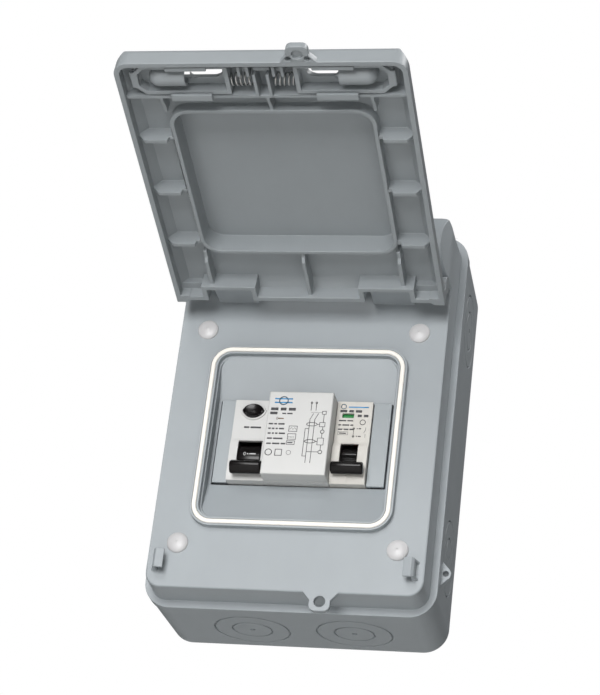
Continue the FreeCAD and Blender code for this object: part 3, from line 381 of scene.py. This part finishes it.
def circle(count, closed=False):
    """Angles round a full turn; closed repeats the first."""
    return [2 * math.pi * k / count for k in range(count + 1 if closed else count)]


def rounded_section(centre, half, radius, steps=6):
    """A rounded rectangle in a plane, as (u, v) points."""
    points = []
    for corner, (su, sv) in enumerate(((1, 1), (-1, 1), (-1, -1), (1, -1))):
        for step in range(steps + 1):
            angle = math.radians(90 * corner + 90 * step / steps)
            points.append((centre[0] + su * (half[0] - radius) + radius * math.cos(angle),
                           centre[1] + sv * (half[1] - radius) + radius * math.sin(angle)))
    return points


# ---------------------------------------------------------------- levers
DRUM_SWEEP = 220         # degrees of the drum that are made
DRUM_STEPS = 96
GROOVE_DEPTH = 0.3
GRIP_CORNER = 2.1


def rocker(name, node, centre, drum_x, drum_r, bar_x, reach, half_bar, angle, ridges=0):
    """A drum on its pin, a neck and a rounded grip bar, turned down to its off place.

    centre is the pin's (y, z), reach is how near and far the grip lies from it, and angle is in
    degrees. ridges sets how close the drum's grooves are. Returns a function from the lever's
    own unturned place to millimetres about the device opening.
    """
    bm = bmesh.new()
    turn = math.radians(angle)

    def placed(x, y, z):
        return (x, centre[0] + y * math.cos(turn) - z * math.sin(turn),
                centre[1] + y * math.sin(turn) + z * math.cos(turn))

    def rounded_ends(x0, x1, edge, section):
        """Rings along X whose section shrinks round a quarter circle at each end."""
        near = []
        for bend in (0, 30, 60, 90):
            along = 1 - math.cos(math.radians(bend))
            inset = 1 - math.sin(math.radians(bend))
            near.append((x0 + edge * along, edge * inset))
        far = [(x0 + x1 - x, inset) for x, inset in reversed(near)]
        return [[placed(x, y, z) for y, z in section(inset)] for x, inset in near + far]

    def grip(inset):
        middle = -(reach[0] + reach[1]) / 2
        half = (reach[1] - reach[0]) / 2
        return rounded_section((middle, 0), (half - inset, half_bar - inset), GRIP_CORNER - inset)

    def drum(inset):
        points = []
        for step in range(DRUM_STEPS + 1):
            sweep = math.radians(-DRUM_SWEEP / 2 + DRUM_SWEEP * step / DRUM_STEPS)
            groove = GROOVE_DEPTH * max(0.0, math.cos(ridges * sweep)) if ridges else 0.0
            radius = drum_r - inset - groove
            points.append((-radius * math.cos(sweep), radius * math.sin(sweep)))
        return points

    def neck(inset):
        tip = -reach[0] - 1
        return [(-3 + inset, -3.2 + inset), (tip, -2.0 + inset),
                (tip, 2.0 - inset), (-3 + inset, 3.2 - inset)]

    loft(bm, rounded_ends(*bar_x, 0.9, grip))
    loft(bm, rounded_ends(*drum_x, 0.25, drum))
    loft(bm, rounded_ends(drum_x[0] + 0.2, drum_x[1] - 0.2, 0.2, neck))
    slot = SLOTS[node]
    piece = new_piece(name, finish_mesh(bm, name), BODY_OF[node], materials[slot])
    piece.data.set_sharp_from_angle(angle=LEVER_SHARP)
    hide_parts(node)
    return placed


RCD_DRUM_R = 7.9
on_rcd_lever = rocker("rcd_rocker", "rcd_toggle", centre=(8.0, -10.0), drum_x=(-29.9, -18.8),
                      drum_r=RCD_DRUM_R, bar_x=(-31.6, -16.2), reach=(11.8, 17.4), half_bar=3.2,
                      angle=33.0)
rocker("mcb_rocker", "mcb_toggle", centre=(9.0, -9.5), drum_x=(20.4, 28.4), drum_r=7.5,
       bar_x=(17.4, 33.1), reach=(11.4, 16.3), half_bar=3.0, angle=30.0, ridges=30)


# ---------------------------------------------------------------- screw caps
# (radius, y) from the dimple at the centre, over the dome, round the rim and up the plug.
CAP_PROFILE = [(0.30, -1.80), (0.42, -2.00), (0.62, -1.93), (1.6, -1.88), (2.8, -1.70),
               (3.8, -1.42), (4.5, -1.12), (4.95, -0.80), (5.15, -0.45), (5.2, 0.0),
               (4.4, 0.0), (4.4, 4.6), (3.2, 4.6), (3.2, 0.5), (0.30, 0.5)]
CAP_X = (-53.3, 53.3)
CAP_Z = (57.6, -56.55)


def screw_caps():
    """Domed push-in caps with a gate mark at the centre."""
    bm = bmesh.new()
    for x in CAP_X:
        for z in CAP_Z:
            loft(bm, [[(x + radius * math.cos(angle), y, z + radius * math.sin(angle))
                       for angle in circle(72)] for radius, y in CAP_PROFILE])
    piece = new_piece("domed_caps", finish_mesh(bm, "domed_caps"), BODY_OF["screw_caps"],
                      materials["cap_grey"])
    piece.data.set_sharp_from_angle(angle=CAP_SHARP)
    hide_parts("screw_caps")


screw_caps()


# ---------------------------------------------------------------- printed marks
INK_LIFT = 0.04


class Print:
    """Thin raised marks on a flat front at one depth."""

    def __init__(self, level):
        self.level = level
        self.bm = bmesh.new()

    def outline(self, points):
        front, back = self.level - INK_LIFT, self.level + INK_LIFT
        loft(self.bm, [[(x, y, z) for x, z in points] for y in (back, front)])

    def bar(self, x0, x1, z, height):
        low, high = z - height / 2, z + height / 2
        self.outline([(x0, low), (x1, low), (x1, high), (x0, high)])

    def line(self, start, stop, width=0.3):
        run = Vector((stop[0] - start[0], stop[1] - start[1])).normalized() * (width / 2)
        side = Vector((-run.y, run.x))
        a, b = Vector(start) - run, Vector(stop) + run
        self.outline([tuple(a - side), tuple(b - side), tuple(b + side), tuple(a + side)])

    def path(self, points, width=0.3):
        for start, stop in zip(points, points[1:]):
            self.line(start, stop, width)

    def frame(self, x0, x1, z0, z1, width=0.28):
        self.path([(x0, z0), (x1, z0), (x1, z1), (x0, z1), (x0, z0)], width)

    def ring(self, x, z, half_x, half_z, width=0.3, around=32):
        self.path([(x + half_x * math.cos(angle), z + half_z * math.sin(angle))
                   for angle in circle(around, closed=True)], width)

    def words(self, x, end, z, height, lengths):
        """A row of blank word-like bars, their lengths in turn, as many as fit before end."""
        for length in itertools.cycle(lengths):
            if x + length > end:
                break
            self.bar(x, x + length, z, height)
            x += length + height * 0.8

    def piece(self, name, slot, material):
        new_piece(name, finish_mesh(self.bm, name), "enclosure", material)


def rcd_diagram(mark):
    """A plain wiring sketch: two poles, a sensing ring, a relay box and a test branch."""
    for x in (5.6, 8.0):
        mark.path([(x, 14.6), (x, 11.4)])
        mark.path([(x, -16.2), (x, 6.6), (x + 1.4, 9.6)])
        mark.ring(x, 15.4, 0.35, 0.45)
    mark.path([(5.9, 10.2), (11.4, 10.2)], 0.14)
    mark.frame(11.4, 13.2, 9.4, 11.0)
    mark.path([(12.3, 9.4), (12.3, 5.0)])
    mark.ring(6.8, 4.0, 2.6, 0.9)
    mark.frame(10.6, 13.2, 2.8, 5.0)
    mark.line((9.4, 4.0), (10.6, 4.0))
    mark.ring(12.3, 0.2, 0.9, 0.9)
    mark.path([(12.3, 2.8), (12.3, 1.1)])
    mark.path([(12.3, -0.7), (12.3, -3.2)])
    mark.ring(6.8, -5.0, 2.6, 0.9)
    mark.frame(10.4, 13.4, -6.8, -3.2)
    mark.line((9.4, -5.0), (10.4, -5.0))
    mark.path([(12.3, -6.8), (12.3, -9.6)])
    mark.ring(12.3, -10.5, 0.9, 0.9)
    mark.path([(11.4, -10.5), (5.6, -10.5)])
    mark.path([(3.8, 1.6), (3.8, -12.8), (5.6, -12.8)])
    mark.path([(3.8, 1.6), (5.6, 1.6)])


def rcd_prints():
    """Blank lines, boxes and rings on the residual current device."""
    face = Print(RCD_RAISED_Y)
    face.words(-14.2, -1.6, 11.7, 1.5, (3.6, 2.8, 3.4))
    face.words(-14.4, -10.0, 9.5, 1.4, (3.6,))
    face.words(-8.4, -1.8, 9.4, 0.7, (1.9, 2.6, 1.3))
    rows = {3.8: (2.1, 1.3, 3.1), 1.3: (1.2, 1.2, 1.0, 2.4), -1.2: (1.5, 0.9, 1.2, 3.0),
            -3.9: (2.4, 4.6), -6.6: (2.2, 3.6)}
    for z, lengths in rows.items():
        face.words(-14.4, -4.9, z, 0.8, lengths)
    face.frame(-4.2, -0.2, 0.0, 2.8)
    face.path([(-3.8, 1.0), (-3.0, 2.0), (-2.2, 1.0), (-1.4, 2.0), (-0.6, 1.0)], 0.16)
    face.frame(-4.4, -0.4, -4.2, -1.3)
    face.words(-4.0, -0.8, -3.0, 0.35, (0.5,))
    face.frame(-4.6, -0.7, -6.9, -5.0)
    face.words(-4.2, -1.0, -5.9, 0.6, (2.6,))
    face.ring(-12.9, -11.2, 1.6, 1.6, 0.35)
    face.frame(-9.6, -6.4, -12.8, -9.6, 0.35)
    face.ring(-3.0, -11.2, 1.1, 1.1, 0.18)
    rcd_diagram(face)
    face.piece("rcd_front_print", "lever_black", DARK_INK)

    stripe = Print(RCD_RAISED_Y)
    stripe.bar(-12.8, -4.0, 17.2, 0.7)
    stripe.bar(-12.8, -4.0, 15.2, 0.7)
    stripe.ring(-8.4, 16.2, 2.1, 2.1, 0.45)
    stripe.piece("rcd_stripe_print", "device_white", BLUE_INK)

    side = Print(RCD_SIDE_Y)
    side.words(-28.8, -18.0, 5.6, 0.9, (2.6, 5.2))
    side.piece("rcd_side_print", "lever_black", DARK_INK)

    dash = Print(RCD_RAISED_Y)
    dash.ring(-10.6, 6.7, 0.45, 0.6, 0.2)
    dash.bar(-10.0, -7.4, 6.7, 0.6)
    dash.piece("rcd_mark_print", "brass", ink("brown_ink", BROWN_INK_COLOUR))


def mcb_prints():
    """Blank lines, boxes and rings on the breaker."""
    face = Print(MCB_FRONT_Y)
    face.words(17.8, 31.0, 16.0, 1.3, (3.4, 2.2, 3.0))
    face.words(26.6, 32.2, 13.6, 1.3, (2.0, 2.2))
    face.words(17.6, 26.0, 10.9, 0.7, (3.6, 2.8))
    face.words(17.6, 26.0, 8.6, 0.7, (1.4, 3.4))
    face.words(17.6, 26.0, 6.3, 0.7, (2.2, 2.4))
    face.frame(17.8, 22.6, 3.4, 5.0, 0.16)
    face.words(18.4, 22.4, 4.2, 0.6, (3.4,))
    face.ring(29.4, 10.2, 1.3, 1.3, 0.3)
    face.path([(25.4, 3.0), (25.4, 6.4)], 0.2)
    face.ring(25.4, 2.6, 0.35, 0.35, 0.3)
    face.ring(25.4, 6.8, 0.35, 0.35, 0.3)
    face.words(26.8, 29.6, 6.8, 0.55, (0.5, 1.2))
    face.words(26.8, 29.6, 2.7, 0.55, (0.5, 1.4))
    face.path([(31.2, 7.4), (31.2, 6.2), (30.4, 4.6)], 0.18)
    face.path([(31.2, 2.2), (31.2, 4.0)], 0.18)
    face.piece("mcb_front_print", "lever_black", DARK_INK)

    stripe = Print(MCB_FRONT_Y)
    stripe.bar(21.8, 31.6, 18.2, 0.6)
    stripe.ring(19.3, 18.4, 1.2, 1.2, 0.35)
    stripe.piece("mcb_stripe_print", "breaker_white", BLUE_INK)


def lever_mark():
    """A ring, the usual off symbol, and two bars on the drum of the device's lever."""
    bm = bmesh.new()
    middle = math.radians(40.0)    # from the drum's front to the marks' middle

    def wrapped(quad):
        rings = []
        for lift in (-0.04, 0.05):
            reach = RCD_DRUM_R + lift
            ring = []
            for x, rise in quad:
                sweep = middle + rise / RCD_DRUM_R
                ring.append(on_rcd_lever(x, -reach * math.cos(sweep), reach * math.sin(sweep)))
            rings.append(ring)
        loft(bm, rings)

    ring_x, half_x, half_rise, hole = -26.4, 0.62, 0.95, 0.68
    turns = circle(24, closed=True)
    for near, far in zip(turns, turns[1:]):
        wrapped([(ring_x + half_x * math.cos(angle) * scale, half_rise * math.sin(angle) * scale)
                 for angle, scale in ((near, 1.0), (far, 1.0), (far, hole), (near, hole))])
    for x0, x1 in ((-25.2, -24.6), (-24.1, -20.9)):
        wrapped([(x0, -0.3), (x1, -0.3), (x1, 0.3), (x0, 0.3)])
    new_piece("rcd_lever_print", finish_mesh(bm, "rcd_lever_print"), BODY_OF["rcd_toggle"],
              WHITE_INK)


rcd_prints()
mcb_prints()
lever_mark()


# ---------------------------------------------------------------- camera, light and floor
EYE = Vector((0.24536, -1.08461, -0.48018))
RIGHT = Vector((0.9764, 0.1848, 0.1123))
UP = Vector((-0.0170, -0.4524, 0.8917))
LENS_MM = 122.45

camera_data = bpy.data.cameras.new("camera")
camera_data.lens = LENS_MM
camera_data.sensor_width = 36.0
camera_data.sensor_fit = "AUTO"
camera_data.clip_start = 0.05
camera_data.clip_end = 20.0
camera = bpy.data.objects.new("camera", camera_data)
bpy.context.scene.collection.objects.link(camera)
right = RIGHT.normalized()
up = (UP - UP.dot(right) * right).normalized()
back = right.cross(up)
camera.matrix_world = Matrix.Translation(EYE) @ Matrix((right, up, back)).transposed().to_4x4()
bpy.context.scene.camera = camera


def lamp(name, place, target, size, power):
    """A soft rectangular light, in metres and watts, not seen by the camera itself."""
    data = bpy.data.lights.new(name, "AREA")
    data.shape = "RECTANGLE"
    data.size, data.size_y = size
    data.energy = power
    light = bpy.data.objects.new(name, data)
    light.location = place
    light.rotation_mode = "QUATERNION"
    light.rotation_quaternion = (Vector(target) - Vector(place)).to_track_quat("-Z", "Y")
    light.visible_camera = False
    bpy.context.scene.collection.objects.link(light)


lamp("key", (-0.1, -1.8, 0.1), (0, -0.08, -0.03), (0.8, 0.8), 27.0)
lamp("above", (-0.3, -1.7, 1.1), (0, -0.08, 0.05), (0.7, 0.5), 8.0)
lamp("below", (-0.5, -0.6, -1.2), (0, -0.08, 0), (0.9, 0.9), 1.0)
lamp("floor_wash", (0, 0.3, -0.2), (0, 0.3001, -1), (3.5, 3.5), 9.0)
lamp("side", (0.7, 0.0, 1.1), (0.05, -0.06, 0.06), (0.5, 0.5), 9.0)

FLOOR_Z = -0.75
FLOOR_HALF = 2.5
WORLD_LIGHT = 0.07

bm = bmesh.new()
bmesh.ops.create_grid(bm, x_segments=8, y_segments=8, size=FLOOR_HALF)
bmesh.ops.translate(bm, verts=bm.verts, vec=(0, 0, FLOOR_Z))
floor_mesh = bpy.data.meshes.new("floor")
bm.to_mesh(floor_mesh)
bm.free()
floor = bpy.data.objects.new("floor", floor_mesh)
bpy.context.scene.collection.objects.link(floor)
floor_mesh.materials.append(moulded("floor_pale", (0.78, 0.78, 0.77), 0.7, grain=40.0))

# The backdrop is white to the camera and dim as a light.
world = bpy.data.worlds.new("studio")
world.use_nodes = True
background = world.node_tree.nodes["Background"]
background.inputs["Color"].default_value = (1, 1, 1, 1)
path = world.node_tree.nodes.new("ShaderNodeLightPath")
level = world.node_tree.nodes.new("ShaderNodeMapRange")
level.inputs["To Min"].default_value = WORLD_LIGHT
level.inputs["To Max"].default_value = 1.0
world.node_tree.links.new(path.outputs["Is Camera Ray"], level.inputs["Value"])
world.node_tree.links.new(level.outputs["Result"], background.inputs["Strength"])
bpy.context.scene.world = world
bpy.context.scene.view_settings.view_transform = "Standard"
